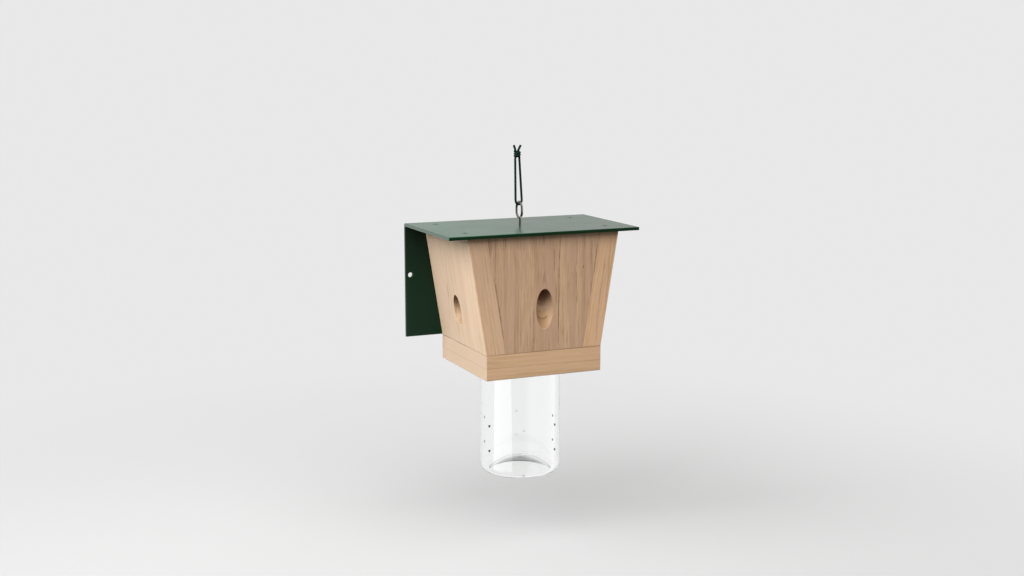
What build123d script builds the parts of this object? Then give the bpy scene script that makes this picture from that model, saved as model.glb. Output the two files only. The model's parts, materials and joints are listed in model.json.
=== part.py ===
from build123d import *
import math
import os

# Carpenter bee trap. A wooden box with slanting side boards hangs under a bent sheet roof, and a clear
# jar pushes up into a socket in its floor board. Millimetres; +X right, +Y to the back, +Z up.
# The origin is on the jar's axis, on the plane that the jar's foot stands on.

# Wooden body
BOARD = 19.0  # thickness of the four wall boards
BODY_DEPTH = 114.3  # front face to back face
FOOT_WIDTH = 120.0  # outside width at the seam with the floor board
TOP_WIDTH = 156.0  # outside width under the roof
WALL_HEIGHT = 110.5
FLOOR_THICK = 24.5
CEILING_THICK = 12.0
EDGE_BREAK = 0.6  # chamfer on the outer wooden edges
JOINT_BREAK = 0.3  # smaller chamfer where the front and back boards meet the side boards

# Entry holes, drilled steeply upwards through the front and both side boards
ENTRY_DIAMETER = 17.5
ENTRY_CLIMB = 63.0  # degrees above level
FRONT_ENTRY_HEIGHT = 40.0  # centre of the hole above the floor seam, on the front face
SIDE_ENTRY_HEIGHT = 34.5  # the same, on the side faces

# Clear jar
JAR_DIAMETER = 79.0
JAR_EXPOSED = 107.5  # foot to the underside of the floor board
JAR_WALL = 2.0
JAR_FOOT_ROUND = 8.0
JAR_FOOT_RING = 1.8  # width of the flat ring that it stands on
JAR_DOME_RISE = 12.0  # underside of the domed floor's middle above the foot
JAR_RIM_ROUND = 0.6
GATE_DIAMETER = 5.0  # moulding mark under the middle of the domed floor
GATE_DROP = 0.8
VENT_DIAMETER = 2.6
VENT_ROWS = (25.5, 50.5)  # heights above the foot
VENT_FIRST_ANGLE = -18.5  # degrees from the front, towards +X
VENT_STEP = 55.0  # degrees between the five columns that face the front and sides
VENT_BACK_ANGLE = 161.5  # the sixth column, at the back
DRAIN_HEIGHT = 4.6

# Socket and funnel in the floor board
SOCKET_DEPTH = 14.0
JAR_CLEARANCE = 0.3  # radial, jar in its socket
SOCKET_LEAD_IN = 1.0  # chamfer on the socket's mouth
FUNNEL_WALL = 1.5
FUNNEL_RIM_GAP = 5.0  # rim to the nearest chamber wall
FUNNEL_RIM_WIDTH = 7.0
FUNNEL_SPOUT_DIAMETER = 19.0  # inside
FUNNEL_SPOUT_LENGTH = 4.0
FUNNEL_RECESS = 1.5  # spout end above the underside of the floor board
FUNNEL_CLEARANCE = 0.3

# Roof sheet with its hanging flange
ROOF_WIDTH = 196.0
ROOF_FRONT_OVERHANG = 4.2
SHEET = 3.0
FLANGE_DROP = 113.5  # roof top to the flange's lower edge
BEND_OUTER_RADIUS = 2.5
SHEET_EDGE_ROUND = 0.5
WALL_HOLE_DIAMETER = 5.0
WALL_HOLE_EDGE = 5.0  # hole centre to the flange's side edge
WALL_HOLE_DROP = 51.5  # hole centre below the roof top

# Fasteners
PILOT_CLEARANCE = 0.05  # radial, screw, brad or eye in its own hole
PASS_CLEARANCE = 0.25  # radial, screw or eye through the piece that it holds down
ROOF_SCREW_DIAMETER = 3.5
ROOF_SCREW_HEAD = 6.0
ROOF_SCREW_CONE = 1.6  # height of the countersunk cone
ROOF_SCREW_BITE = 13.0
ROOF_SCREW_INSET = 5.0  # axis to the side board's outer top edge
ROOF_SCREW_END = 19.0  # axis to the board's front or back end
CROSS_WIDTH = 0.9
CROSS_LENGTH = 3.2
CROSS_DEPTH = 0.9
FLOOR_SCREW_DIAMETER = 3.5
FLOOR_SCREW_HEAD = 7.6
FLOOR_SCREW_CONE = 2.2  # height of the countersunk cone
FLOOR_SCREW_BITE = 15.0
FLOOR_SCREW_END = 22.0  # axis to the board's front or back end
BRAD_DIAMETER = 1.4
BRAD_BITE = 13.0
BRAD_COUNT = 3  # in each corner joint
BRAD_END = 18.0  # first and last brad to the ends of the wall
CEILING_BRAD_END = 37.0  # ceiling brad to the board's front or back end

# Screw eye
EYE_WIRE = 2.3
EYE_DEPTH = 15.0  # outside of the oval ring, front to back
EYE_HEIGHT = 17.8  # outside of the ring, upright
EYE_NECK = 5.8  # roof top to the underside of the ring
EYE_BACK = 1.9  # ring's centre behind the shank
EYE_GAP = 1.0  # wire end to the shank, round the ring
EYE_THREAD = 3.0
EYE_BITE = 11.0  # thread in the ceiling board

# Hanging cord and its knot
CORD_DIAMETER = 2.2
CORD_EYE_GAP = 0.2  # cord to the underside of the ring's top wire
CORD_FOLD_RADIUS = 3.0
CORD_STRANDS_AT_EYE = (-3.9, 2.9)  # X of the left and right strand at the fold
CORD_STRANDS_AT_KNOT = (-4.3, 0.0)  # X of the same strands at the knot
CORD_RISE = 45.0  # lowest point of the cord's centre line to its ends in the knot
KNOT_DIAMETER = 7.2
KNOT_HEIGHT = 8.6
KNOT_SHOULDER = 2.5  # height of each tapered end
KNOT_WAIST = 4.8  # diameter of its flat ends
KNOT_OVERLAP = 1.0  # strands run this far into the knot
TAIL_LENGTH = 6.0
TAIL_LEAN = 28.0  # degrees from upright

# Levels and sizes worked out from the driving dimensions
UNDERSIDE = JAR_EXPOSED
SEAM = UNDERSIDE + FLOOR_THICK
WALL_TOP = SEAM + WALL_HEIGHT
ROOF_TOP = WALL_TOP + SHEET
SOCKET_TOP = UNDERSIDE + SOCKET_DEPTH
HALF_DEPTH = BODY_DEPTH / 2
SPREAD = (TOP_WIDTH - FOOT_WIDTH) / 2 / WALL_HEIGHT  # how far a side board leans out per mm of height
SLANT = math.atan(SPREAD)
LEVEL_BOARD = BOARD / math.cos(SLANT)  # thickness of a side board measured level
INNER_DEPTH = BODY_DEPTH - 2 * BOARD
JAR_RADIUS = JAR_DIAMETER / 2
CHAMBER_REACH = min(FOOT_WIDTH / 2 - LEVEL_BOARD, INNER_DEPTH / 2)
FUNNEL_RIM_RADIUS = CHAMBER_REACH - FUNNEL_RIM_GAP
FUNNEL_MOUTH_RADIUS = FUNNEL_RIM_RADIUS - FUNNEL_RIM_WIDTH
EYE_RING_RADIUS = (EYE_DEPTH - EYE_WIRE) / 2  # of the ring's two round ends, to the middle of the wire
EYE_HALF_STRAIGHT = (EYE_HEIGHT - EYE_DEPTH) / 2
EYE_CENTRE = ROOF_TOP + EYE_NECK + EYE_HEIGHT / 2

STAND_UP = (Align.CENTER, Align.CENTER, Align.MIN)
LEFT = -1
RIGHT = 1
FRONT = -1
BACK = 1


def outer_x(height):
    """Half the body's outside width at a height."""
    return FOOT_WIDTH / 2 + SPREAD * (height - SEAM)


def inner_x(height):
    """Half the chamber's width at a height."""
    return outer_x(height) - LEVEL_BOARD


def along_y(outline, start, length):
    """Outline in X and Z, carried backwards from a start on Y."""
    wire = Polyline(*[(x, start, z) for x, z in outline], close=True)
    return extrude(make_face(wire), amount=length, dir=(0, 1, 0))


def turned(profile):
    """Closed profile of radius and height, turned round the Z axis."""
    wire = Polyline(*[(r, 0, z) for r, z in profile], close=True)
    return revolve(make_face(wire), axis=Axis.Z)


def rod(start, direction, length, diameter):
    """Round bar from a start point along a direction."""
    return Plane(origin=start, z_dir=direction) * Cylinder(diameter / 2, length, align=STAND_UP)


def drilled(diameter, clearance):
    """Size of the hole for a round piece with a radial clearance."""
    return diameter + 2 * clearance


# Entry holes

def entry_bore(mouth, inward):
    """Bore through a mouth point, climbing steeply towards the inside."""
    climb = math.radians(ENTRY_CLIMB)
    axis = Vector(*inward) * math.cos(climb) + Vector(0, 0, math.sin(climb))
    reach = 2 * (BOARD / math.cos(climb) + ENTRY_DIAMETER * math.tan(climb))
    return Plane(origin=mouth, z_dir=axis) * Cylinder(ENTRY_DIAMETER / 2, reach)


def front_entry():
    return entry_bore((0, -HALF_DEPTH, SEAM + FRONT_ENTRY_HEIGHT), (0, 1, 0))


def side_entry(side):
    height = SEAM + SIDE_ENTRY_HEIGHT
    return entry_bore((side * outer_x(height), 0, height), (-side, 0, 0))


# Brads, driven square through a side board into the board behind it

def brad_direction(side):
    return (-side * math.cos(SLANT), 0, math.sin(SLANT))


def brad_start(side, y, height):
    """Head of the brad that crosses the side board's inner face at a height."""
    inner = Vector(side * inner_x(height), y, height)
    return inner - Vector(*brad_direction(side)) * BOARD


def corner_brad_places(side):
    pitch = (WALL_HEIGHT - 2 * BRAD_END) / (BRAD_COUNT - 1)
    across = HALF_DEPTH - BOARD / 2
    heights = [SEAM + BRAD_END + index * pitch for index in range(BRAD_COUNT)]
    return [(side, end * across, height) for end in (FRONT, BACK) for height in heights]


def ceiling_brad_places(side):
    across = HALF_DEPTH - CEILING_BRAD_END
    return [(side, end * across, WALL_TOP - CEILING_THICK / 2) for end in (FRONT, BACK)]


def brad(place, clearance=0.0):
    side = place[0]
    size = drilled(BRAD_DIAMETER, clearance)
    return rod(brad_start(*place), brad_direction(side), BOARD + BRAD_BITE, size)


def brad_holes(places):
    return [brad(place, PILOT_CLEARANCE) for place in places]


# Roof screws and floor screws

def roof_screw_places():
    x = TOP_WIDTH / 2 - ROOF_SCREW_INSET
    y = HALF_DEPTH - ROOF_SCREW_END
    return [(side * x, end * y) for side in (LEFT, RIGHT) for end in (FRONT, BACK)]


def floor_screw_places():
    x = FOOT_WIDTH / 2 - LEVEL_BOARD / 2
    y = HALF_DEPTH - FLOOR_SCREW_END
    return [(side * x, end * y) for side in (LEFT, RIGHT) for end in (FRONT, BACK)]


def cross_recess():
    """Cross-shaped cut for a screwdriver, upwards from the head's flat."""
    slot = Box(CROSS_LENGTH, CROSS_WIDTH, CROSS_DEPTH, align=STAND_UP)
    return slot + Box(CROSS_WIDTH, CROSS_LENGTH, CROSS_DEPTH, align=STAND_UP)


def countersunk(diameter, head, cone, length, clearance):
    """Countersunk head and shank, pointing up from the head's flat; grown by a clearance for its hole."""
    shank_radius = diameter / 2 + clearance
    head_radius = head / 2 + clearance
    return turned([(0, 0), (head_radius, 0), (shank_radius, cone), (shank_radius, length), (0, length)])


def roof_screw_body(clearance):
    length = SHEET + ROOF_SCREW_BITE
    return countersunk(ROOF_SCREW_DIAMETER, ROOF_SCREW_HEAD, ROOF_SCREW_CONE, length, clearance)


def floor_screw_body(clearance):
    length = FLOOR_THICK + FLOOR_SCREW_BITE
    return countersunk(FLOOR_SCREW_DIAMETER, FLOOR_SCREW_HEAD, FLOOR_SCREW_CONE, length, clearance)


def on_roof(x, y):
    """Place of a roof screw, pointing down from the top of the sheet."""
    return Pos(x, y, ROOF_TOP) * Rot(180, 0, 0)


def roof_screw(x, y):
    return on_roof(x, y) * (roof_screw_body(0.0) - cross_recess())


def floor_screw(x, y):
    return Pos(x, y, UNDERSIDE) * (floor_screw_body(0.0) - cross_recess())


def roof_screw_pilots():
    size = drilled(ROOF_SCREW_DIAMETER, PILOT_CLEARANCE)
    return [rod((x, y, WALL_TOP), (0, 0, -1), ROOF_SCREW_BITE, size) for x, y in roof_screw_places()]


def floor_screw_pilots():
    size = drilled(FLOOR_SCREW_DIAMETER, PILOT_CLEARANCE)
    return [rod((x, y, SEAM), (0, 0, 1), FLOOR_SCREW_BITE, size) for x, y in floor_screw_places()]


# Wooden boards

def side_board(side):
    """Slanted board, as deep as the body, with its entry hole and fastener holes."""
    outline = [
        (side * outer_x(SEAM), SEAM),
        (side * outer_x(WALL_TOP), WALL_TOP),
        (side * inner_x(WALL_TOP), WALL_TOP),
        (side * inner_x(SEAM), SEAM),
    ]
    board = along_y(outline, -HALF_DEPTH, BODY_DEPTH)
    outer_face = board.faces().sort_by(Axis.X)[0 if side == LEFT else -1]
    upright_edges = outer_face.edges().group_by(Axis.Y)
    board = chamfer(upright_edges[0] + upright_edges[-1], length=EDGE_BREAK)
    board -= side_entry(side)
    board -= brad_holes(corner_brad_places(side) + ceiling_brad_places(side))
    board -= roof_screw_pilots() + floor_screw_pilots()
    return board


def end_outline(bottom, top):
    """Trapezoid between the side boards."""
    return [
        (-inner_x(bottom), bottom),
        (inner_x(bottom), bottom),
        (inner_x(top), top),
        (-inner_x(top), top),
    ]


def end_board(end):
    """Front or back board, set between the side boards."""
    start = -HALF_DEPTH if end == FRONT else HALF_DEPTH - BOARD
    board = along_y(end_outline(SEAM, WALL_TOP), start, BOARD)
    outer_face = board.faces().sort_by(Axis.Y)[0 if end == FRONT else -1]
    board = chamfer(outer_face.edges().filter_by(Axis.X, reverse=True), length=JOINT_BREAK)
    return board - brad_holes(corner_brad_places(LEFT) + corner_brad_places(RIGHT))


def front_board():
    return end_board(FRONT) - front_entry()


def ceiling_board():
    board = along_y(end_outline(WALL_TOP - CEILING_THICK, WALL_TOP), -INNER_DEPTH / 2, INNER_DEPTH)
    board -= brad_holes(ceiling_brad_places(LEFT) + ceiling_brad_places(RIGHT))
    return board - rod((0, 0, WALL_TOP), (0, 0, -1), EYE_BITE, drilled(EYE_THREAD, PILOT_CLEARANCE))


def floor_board():
    """Thick block with the jar's socket below and the funnel's seat above."""
    block = Pos(0, 0, UNDERSIDE) * Box(FOOT_WIDTH, BODY_DEPTH, FLOOR_THICK, align=STAND_UP)
    block = chamfer(block.edges(), length=EDGE_BREAK)
    socket_radius = JAR_RADIUS + JAR_CLEARANCE
    block -= turned([
        (0, UNDERSIDE),
        (socket_radius + SOCKET_LEAD_IN, UNDERSIDE),
        (socket_radius, UNDERSIDE + SOCKET_LEAD_IN),
        (socket_radius, SOCKET_TOP),
        (0, SOCKET_TOP),
    ])
    seat_radius = FUNNEL_RIM_RADIUS + FUNNEL_CLEARANCE
    passage_radius = FUNNEL_MOUTH_RADIUS + FUNNEL_WALL + FUNNEL_CLEARANCE
    block -= turned([
        (0, SOCKET_TOP),
        (passage_radius, SOCKET_TOP),
        (passage_radius, SEAM - FUNNEL_WALL),
        (seat_radius, SEAM - FUNNEL_WALL),
        (seat_radius, SEAM),
        (0, SEAM),
    ])
    hole = floor_screw_body(PASS_CLEARANCE)
    block -= [Pos(x, y, UNDERSIDE) * hole for x, y in floor_screw_places()]
    return block


# Funnel and jar

def funnel():
    """Flat rim in its seat, a cone and a short spout, all of one wall."""
    spout_end = UNDERSIDE + FUNNEL_RECESS
    spout_top = spout_end + FUNNEL_SPOUT_LENGTH
    spout = FUNNEL_SPOUT_DIAMETER / 2
    return turned([
        (FUNNEL_MOUTH_RADIUS, SEAM),
        (FUNNEL_RIM_RADIUS, SEAM),
        (FUNNEL_RIM_RADIUS, SEAM - FUNNEL_WALL),
        (FUNNEL_MOUTH_RADIUS + FUNNEL_WALL, SEAM - FUNNEL_WALL),
        (spout + FUNNEL_WALL, spout_top - FUNNEL_WALL),
        (spout + FUNNEL_WALL, spout_end),
        (spout, spout_end),
        (spout, spout_top),
    ])


def jar_profile():
    """Half section: straight wall, rounded foot, and a floor domed upwards with its moulding mark."""
    round_start = JAR_RADIUS - JAR_FOOT_ROUND
    dome_edge = round_start - JAR_FOOT_RING
    inner_round = JAR_FOOT_ROUND - JAR_WALL
    dome_radius = (dome_edge**2 + JAR_DOME_RISE**2) / (2 * JAR_DOME_RISE)
    dome_centre = JAR_DOME_RISE - dome_radius
    inside_radius = dome_radius + JAR_WALL
    inside_edge = math.sqrt(inside_radius**2 - (JAR_WALL - dome_centre) ** 2)
    gate = GATE_DIAMETER / 2
    gate_foot = JAR_DOME_RISE - GATE_DROP
    top = SOCKET_TOP
    bend = math.sin(math.pi / 4)

    def at(radius, height):
        return (radius, 0, height)

    def on_dome(radius, sphere):
        return at(radius, dome_centre + math.sqrt(sphere**2 - radius**2))

    outer_mid = at(round_start + bend * JAR_FOOT_ROUND, JAR_FOOT_ROUND * (1 - bend))
    inner_mid = at(round_start + bend * inner_round, JAR_FOOT_ROUND - bend * inner_round)
    gate_top = on_dome(gate, dome_radius)
    inside_top = on_dome(0, inside_radius)
    return [
        Line(at(0, gate_foot), at(gate, gate_foot)),
        Line(at(gate, gate_foot), gate_top),
        ThreePointArc(gate_top, on_dome(dome_edge / 2, dome_radius), at(dome_edge, 0)),
        Line(at(dome_edge, 0), at(round_start, 0)),
        ThreePointArc(at(round_start, 0), outer_mid, at(JAR_RADIUS, JAR_FOOT_ROUND)),
        Line(at(JAR_RADIUS, JAR_FOOT_ROUND), at(JAR_RADIUS, top)),
        Line(at(JAR_RADIUS, top), at(JAR_RADIUS - JAR_WALL, top)),
        Line(at(JAR_RADIUS - JAR_WALL, top), at(JAR_RADIUS - JAR_WALL, JAR_FOOT_ROUND)),
        ThreePointArc(at(JAR_RADIUS - JAR_WALL, JAR_FOOT_ROUND), inner_mid, at(round_start, JAR_WALL)),
        Line(at(round_start, JAR_WALL), at(inside_edge, JAR_WALL)),
        ThreePointArc(at(inside_edge, JAR_WALL), on_dome(inside_edge / 2, inside_radius), inside_top),
        Line(inside_top, at(0, gate_foot)),
    ]


def wall_hole(angle, height):
    """Small hole through the jar's wall, at an angle from the front towards +X."""
    turn = math.radians(angle)
    outward = Vector(math.sin(turn), -math.cos(turn), 0)
    start = outward * (JAR_RADIUS - 2 * JAR_WALL) + Vector(0, 0, height)
    return rod(start, outward, 3 * JAR_WALL, VENT_DIAMETER)


def jar():
    shell = revolve(make_face(jar_profile()), axis=Axis.Z)
    rim_edges = shell.edges().group_by(Axis.Z)[-1]
    shell = fillet(rim_edges, radius=JAR_RIM_ROUND)
    angles = [VENT_FIRST_ANGLE + step * VENT_STEP for step in (-2, -1, 0, 1, 2)] + [VENT_BACK_ANGLE]
    shell -= [wall_hole(angle, height) for angle in angles for height in VENT_ROWS]
    return shell - wall_hole(VENT_FIRST_ANGLE, DRAIN_HEIGHT)


# Roof sheet

def roof_sheet():
    """L-shaped sheet: flat roof, one bend, and the flange behind the back board."""
    front = -HALF_DEPTH - ROOF_FRONT_OVERHANG
    back = HALF_DEPTH + SHEET
    flange_foot = ROOF_TOP - FLANGE_DROP
    outline = [
        (front, WALL_TOP),
        (HALF_DEPTH, WALL_TOP),
        (HALF_DEPTH, flange_foot),
        (back, flange_foot),
        (back, ROOF_TOP),
        (front, ROOF_TOP),
    ]
    wire = Polyline(*[(-ROOF_WIDTH / 2, y, z) for y, z in outline], close=True)
    sheet = extrude(make_face(wire), amount=ROOF_WIDTH, dir=(1, 0, 0))
    level = sheet.edges().filter_by(Axis.X)
    bend_edge = level.sort_by(lambda edge: edge.center().Y + edge.center().Z)[-1]
    sheet = fillet(bend_edge, radius=BEND_OUTER_RADIUS)
    top_face = sheet.faces().sort_by(Axis.Z)[-1]
    sheet = fillet(top_face.edges().sort_by(Axis.Y)[0], radius=SHEET_EDGE_ROUND)
    hole_x = ROOF_WIDTH / 2 - WALL_HOLE_EDGE
    for side in (LEFT, RIGHT):
        start = (side * hole_x, HALF_DEPTH, ROOF_TOP - WALL_HOLE_DROP)
        sheet -= rod(start, (0, 1, 0), SHEET, WALL_HOLE_DIAMETER)
    screw_hole = roof_screw_body(PASS_CLEARANCE)
    sheet -= [on_roof(x, y) * screw_hole for x, y in roof_screw_places()]
    return sheet - rod((0, 0, WALL_TOP), (0, 0, 1), SHEET, drilled(EYE_THREAD, PASS_CLEARANCE))


# Screw eye, cord and knot

def eye_path():
    """Middle of the ring's wire, from the top of the neck round by the back and nearly back to it."""
    foot_angle = math.asin(EYE_BACK / EYE_RING_RADIUS)
    end_angle = foot_angle + (EYE_WIRE + EYE_GAP) / EYE_RING_RADIUS

    def low(angle):
        """Point on the lower round, at an angle from its lowest point towards the front."""
        y = EYE_BACK - EYE_RING_RADIUS * math.sin(angle)
        return (0, y, EYE_CENTRE - EYE_HALF_STRAIGHT - EYE_RING_RADIUS * math.cos(angle))

    def side(end, half):
        return (0, EYE_BACK + end * EYE_RING_RADIUS, EYE_CENTRE + half * EYE_HALF_STRAIGHT)

    top = (0, EYE_BACK, EYE_CENTRE + EYE_HALF_STRAIGHT + EYE_RING_RADIUS)
    quarter = math.pi / 4
    return [
        ThreePointArc(low(foot_angle), low(-quarter), side(BACK, -1)),
        Line(side(BACK, -1), side(BACK, 1)),
        ThreePointArc(side(BACK, 1), top, side(FRONT, 1)),
        Line(side(FRONT, 1), side(FRONT, -1)),
        ThreePointArc(side(FRONT, -1), low((end_angle + math.pi / 2) / 2), low(end_angle)),
    ]


def screw_eye():
    """Oval wire ring in the Y-Z plane, nearly closed, on a shank that threads into the ceiling board."""
    path = Wire(eye_path())
    start = path @ 0
    ring = sweep(Plane(origin=start, z_dir=path % 0) * Circle(EYE_WIRE / 2), path=path)
    neck = rod((0, 0, ROOF_TOP), (0, 0, 1), start.Z - ROOF_TOP, EYE_WIRE)
    thread = rod((0, 0, WALL_TOP - EYE_BITE), (0, 0, 1), EYE_BITE + SHEET, EYE_THREAD)
    return ring + neck + thread


def cord_fold_height():
    """Lowest point of the cord's centre line, under the ring's top wire."""
    wire_underside = EYE_CENTRE + EYE_HEIGHT / 2 - EYE_WIRE
    return wire_underside - CORD_EYE_GAP - CORD_DIAMETER / 2


def cord_points():
    low = cord_fold_height()
    left_low, right_low = CORD_STRANDS_AT_EYE
    left_high, right_high = CORD_STRANDS_AT_KNOT
    return [
        Vector(left_high, EYE_BACK, low + CORD_RISE),
        Vector(left_low, EYE_BACK, low),
        Vector(right_low, EYE_BACK, low),
        Vector(right_high, EYE_BACK, low + CORD_RISE),
    ]


def hanging_cord():
    """Two tight strands and the fold between them that goes under the ring's top wire."""
    path = FilletPolyline(*cord_points(), radius=[CORD_FOLD_RADIUS, CORD_FOLD_RADIUS])
    section = Plane(origin=path @ 0, z_dir=path % 0) * Circle(CORD_DIAMETER / 2)
    tube = sweep(section, path=path)
    plain_volume = math.pi * (CORD_DIAMETER / 2) ** 2 * path.length
    print(f"cord: length {path.length:.1f}, radii {CORD_FOLD_RADIUS} and {CORD_FOLD_RADIUS}")
    print(f"cord: volume {tube.volume:.2f}, section times length {plain_volume:.2f}")
    return tube


def cord_knot():
    """Barrel of the knot that closes the loop, with the cord's two tails."""
    middle = sum(CORD_STRANDS_AT_KNOT) / 2
    base = cord_fold_height() + CORD_RISE - KNOT_OVERLAP
    barrel = turned([
        (0, 0),
        (KNOT_WAIST / 2, 0),
        (KNOT_DIAMETER / 2, KNOT_SHOULDER),
        (KNOT_DIAMETER / 2, KNOT_HEIGHT - KNOT_SHOULDER),
        (KNOT_WAIST / 2, KNOT_HEIGHT),
        (0, KNOT_HEIGHT),
    ])
    lean = math.radians(TAIL_LEAN)
    sunk = (0, 0, KNOT_HEIGHT - CORD_DIAMETER)
    for side in (LEFT, RIGHT):
        direction = (side * math.sin(lean), 0, math.cos(lean))
        barrel += rod(sunk, direction, TAIL_LENGTH + CORD_DIAMETER, CORD_DIAMETER)
    return Pos(middle, EYE_BACK, base) * barrel


def group(pieces):
    """Identical fasteners as separate solids of one node."""
    return Compound([solid for piece in pieces for solid in piece.solids()])


NODES = {
    "left_board": side_board(LEFT),
    "right_board": side_board(RIGHT),
    "front_board": front_board(),
    "back_board": end_board(BACK),
    "ceiling_board": ceiling_board(),
    "floor_board": floor_board(),
    "funnel": funnel(),
    "jar": jar(),
    "roof_sheet": roof_sheet(),
    "roof_screws": group([roof_screw(x, y) for x, y in roof_screw_places()]),
    "floor_screws": group([floor_screw(x, y) for x, y in floor_screw_places()]),
    "left_brads": group([brad(place) for place in corner_brad_places(LEFT)]),
    "right_brads": group([brad(place) for place in corner_brad_places(RIGHT)]),
    "ceiling_brads": group([brad(place) for side in (LEFT, RIGHT) for place in ceiling_brad_places(side)]),
    "screw_eye": screw_eye(),
    "hanging_cord": hanging_cord(),
    "cord_knot": cord_knot(),
}

os.makedirs("parts", exist_ok=True)
for node, shape in NODES.items():
    export_step(shape, f"parts/{node}.step")
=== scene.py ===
import json
import math

import bpy
import numpy as np
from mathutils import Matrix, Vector


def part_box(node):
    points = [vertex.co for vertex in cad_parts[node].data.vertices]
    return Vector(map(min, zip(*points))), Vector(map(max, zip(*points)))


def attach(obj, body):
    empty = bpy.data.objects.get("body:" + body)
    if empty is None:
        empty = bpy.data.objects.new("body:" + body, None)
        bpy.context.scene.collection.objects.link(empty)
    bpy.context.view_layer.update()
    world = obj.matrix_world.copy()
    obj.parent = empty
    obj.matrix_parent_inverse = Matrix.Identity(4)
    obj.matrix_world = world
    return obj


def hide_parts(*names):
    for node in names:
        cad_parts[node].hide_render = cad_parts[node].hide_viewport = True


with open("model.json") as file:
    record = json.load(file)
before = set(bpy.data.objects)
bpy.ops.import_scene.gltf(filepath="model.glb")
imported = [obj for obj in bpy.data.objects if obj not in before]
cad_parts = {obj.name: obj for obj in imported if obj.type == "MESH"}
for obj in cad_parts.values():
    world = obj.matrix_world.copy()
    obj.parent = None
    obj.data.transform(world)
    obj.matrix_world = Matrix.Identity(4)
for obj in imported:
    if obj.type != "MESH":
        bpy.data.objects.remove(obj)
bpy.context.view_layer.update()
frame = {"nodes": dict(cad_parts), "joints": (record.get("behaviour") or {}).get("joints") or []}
nodes = frame["nodes"]


# Side boards: two slanted planks of bare planed softwood, as deep as the box, with the grain running up
# their slope. Each is sawn from stock, bored with a steep entry hole and pinned to the edges of the end
# boards.
def add(tree, kind, sockets=None, **options):
    """Adds a shader node. Each socket is given a value, or another node's output to link from."""
    node = tree.nodes.new("ShaderNode" + kind)
    for option, value in options.items():
        setattr(node, option, value)
    for socket, value in (sockets or {}).items():
        if isinstance(value, bpy.types.NodeSocket):
            tree.links.new(value, node.inputs[socket])
        else:
            node.inputs[socket].default_value = value
    return node


def calc(tree, operation, *values):
    """One Math node; returns its result."""
    return add(tree, "Math", dict(enumerate(values)), operation=operation).outputs[0]


def product(tree, first, *others):
    """The product of several values."""
    result = first
    for value in others:
        result = calc(tree, "MULTIPLY", result, value)
    return result


def total(tree, values):
    """The sum of (value, weight) pairs."""
    result = 0.0
    for value, weight in values:
        result = calc(tree, "MULTIPLY_ADD", value, weight, result)
    return result


def ease(tree, value, start, end, low=0.0, high=1.0):
    """Goes smoothly from low to high as value goes from start to end, and stays there."""
    sockets = {"Value": value, "From Min": start, "From Max": end, "To Min": low, "To Max": high}
    return add(tree, "MapRange", sockets, interpolation_type="SMOOTHSTEP").outputs["Result"]


def near(tree, value, edge, starts, full):
    """Fades in as value comes near an edge: none of it at starts from the edge, all of it at full."""
    return ease(tree, value, edge + starts, edge + full)


def grey(tone):
    """A colour without hue."""
    return (tone, tone, tone, 1.0)


def tint(tree, share, first, second, how="MIX"):
    """Lays a share of the second colour on the first, mixed or multiplied. Sockets 6, 7 and 2 are the ones
    for colours."""
    return add(tree, "Mix", {0: share, 6: first, 7: second}, data_type="RGBA", blend_type=how).outputs[2]


def vector_calc(tree, operation, *values, output="Vector"):
    """One Vector Math node; returns its result."""
    return add(tree, "VectorMath", dict(enumerate(values)), operation=operation).outputs[output]


def speckle(tree, point, size, detail=2.0, output="Fac"):
    """Noise whose lumps have the given size in metres along each axis."""
    scaled = vector_calc(tree, "DIVIDE", point, size)
    return add(tree, "TexNoise", {"Vector": scaled, "Scale": 1.0, "Detail": detail}).outputs[output]


def new_group(name, inputs, outputs):
    """A shader node group; returns its tree, what it is given and what it puts out."""
    tree = bpy.data.node_groups.new(name, "ShaderNodeTree")
    for way, sockets in (("INPUT", inputs), ("OUTPUT", outputs)):
        for socket, kind in sockets.items():
            tree.interface.new_socket(socket, in_out=way, socket_type="NodeSocket" + kind)
    return tree, tree.nodes.new("NodeGroupInput").outputs, tree.nodes.new("NodeGroupOutput").inputs


def new_finish(name):
    """A new material; returns it, its tree, its shader and the point on the piece."""
    finish = bpy.data.materials.new(name)
    finish.use_nodes = True
    tree = finish.node_tree
    return finish, tree, tree.nodes["Principled BSDF"], add(tree, "TexCoord").outputs["Object"]


def lay_bump(tree, shader, height, depth):
    """Roughens the surface by a height between 0 and 1, as deep as depth in metres."""
    bump = add(tree, "Bump", {"Height": height, "Strength": 1.0, "Distance": depth})
    tree.links.new(bump.outputs["Normal"], shader.inputs["Normal"])


# Softwood: the point's Z runs along the grain and its Z axis is the heart of the log.
# Rings are the distance from the heart, made to waver; fibres and streaks are noise drawn out along Z.
# The sizes of the marks are in metres, two across the grain and one along it.
WAVER = 0.004
WAVER_SIZE = (0.05, 0.05, 0.18)
FIBRE = (0.0006, 0.0006, 0.018)
STREAK = (0.0014, 0.0014, 0.045)
BAND = (0.009, 0.009, 0.14)
FLECK = (0.0006, 0.0006, 0.009)
HAIRLINE = (0.0011, 0.0011, 0.024)
ROSY_PATCH = (0.011, 0.011, 0.10)
LATE_WOOD = (0.35, 0.95)  # shares of a year's growth between which the wood darkens
NEW_YEAR = (1.0, 0.96)  # and between which it drops back to pale
WEAK_YEAR = 0.4
MIDDLE_SHADE = 0.5
NOISE_MIDDLE = 0.5
BLUSH_SHARE = 0.5
PALE_ROUGHNESS = 0.66
DARK_ROUGHNESS = 0.52
softwood, given, put_out = new_group(
    "softwood",
    {"Point": "Vector", "Ring Width": "Float", "Ring Depth": "Float", "Contrast": "Float", "Pale": "Color",
     "Dark": "Color", "Blush": "Color"},
    {"Color": "Color", "Roughness": "Float", "Height": "Float"},
)
grain = given["Point"]
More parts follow.
